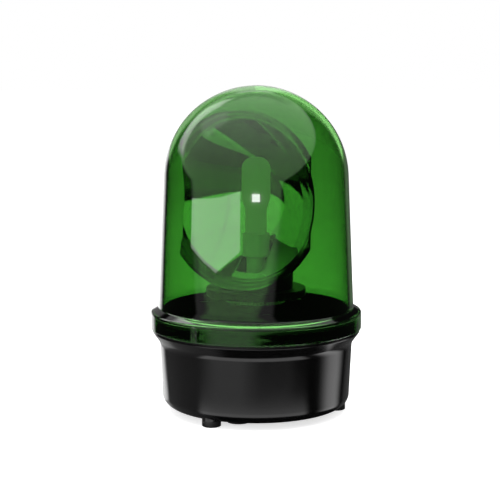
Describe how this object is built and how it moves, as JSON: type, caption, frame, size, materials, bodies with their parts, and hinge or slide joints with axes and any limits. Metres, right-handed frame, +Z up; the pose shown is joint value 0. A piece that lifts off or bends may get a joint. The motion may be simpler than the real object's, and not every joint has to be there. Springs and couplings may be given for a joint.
{
  "type": "rotating beacon",
  "caption": "Rotating mirror beacon: black base, twist-off green dome, motor-driven parabolic reflector turning about a fixed upright lamp.",
  "frame": {"origin": "centre of the circle of the feet, on the surface that the feet stand on", "axes": "+Z up along the axis of the rotor and the dome; -Y is the side that the picture shows; +X to its right"},
  "size_m": [0.142, 0.142, 0.2189],
  "materials": {
    "housing_black": "satin moulded black",
    "feet_rubber": "matt black",
    "insert_brass": "turned",
    "grommet_rubber": "matt black",
    "gasket_rubber": "matt dark grey",
    "deck_black": "fine matt black",
    "spindle_steel": "turned",
    "nut_steel": "zinc plated",
    "washer_nylon": "natural",
    "bush_bronze": "sintered bronze",
    "clip_steel": "spring steel",
    "motor_zinc": "zinc plated can",
    "shaft_steel": "ground",
    "screw_steel": "zinc plated",
    "screw_black": "black oxide",
    "holder_grey": "satin light grey",
    "board_white": "white solder mask",
    "chip_yellow": "phosphor lens",
    "clip_white": "gloss white",
    "wire_red": "insulated",
    "wire_black": "insulated",
    "circuit_green": "solder mask",
    "header_white": "natural",
    "terminal_green": "moulded",
    "capacitor_sleeve": "sleeved can",
    "chip_black": "moulded",
    "turntable_black": "satin moulded black",
    "mirror_plating": "vacuum plated",
    "gear_acetal": "natural acetal",
    "pinion_brass": "hobbed",
    "dome_green": "clear green, polished"
  },
  "bodies": {
    "base": {"base_housing": "housing_black", "mounting_feet": "feet_rubber", "foot_inserts": "insert_brass", "cable_grommet": "grommet_rubber", "cap_gasket": "gasket_rubber", "deck_plate": "deck_black", "spindle": "spindle_steel", "spindle_nut": "nut_steel", "thrust_washer": "washer_nylon", "retaining_clip": "clip_steel", "motor_housing": "motor_zinc", "motor_screws": "screw_steel", "lamp_holder": "holder_grey", "lamp_board": "board_white", "light_chips": "chip_yellow", "board_clips": "clip_white", "lamp_wires": "wire_red", "control_board": "circuit_green", "wire_headers": "header_white", "motor_leads": "wire_black", "terminal_block": "terminal_green", "terminal_screws": "screw_steel", "capacitors": "capacitor_sleeve", "driver_package": "chip_black", "deck_screws": "screw_black", "board_screws": "screw_steel"},
    "rotor": {"turntable": "turntable_black", "reflector": "mirror_plating", "drive_gear": "gear_acetal", "lower_bush": "bush_bronze", "upper_bush": "bush_bronze", "gear_screws": "screw_steel", "reflector_screws": "screw_steel"},
    "motor_drive": {"motor_shaft": "shaft_steel", "pinion": "pinion_brass"},
    "cap": {"dome_cap": "dome_green"}
  },
  "joints": [
    {"name": "rotor_spin", "type": "hinge", "parent": "base", "child": "rotor", "pos_m": [0, 0, 0.08], "axis": [0, 0, 1], "continuous": true},
    {"name": "motor_spin", "type": "hinge", "parent": "base", "child": "motor_drive", "pos_m": [-0.00334, 0.02538, 0.07], "axis": [0, 0, 1], "continuous": true},
    {"name": "cap_twist", "type": "hinge", "parent": "base", "child": "cap", "pos_m": [0, 0, 0.06], "axis": [0, 0, 1], "range_deg": [0, 20]}
  ],
  "couplings": [
    {"joint": "motor_spin", "follows": "rotor_spin", "ratio": -3}
  ]
}
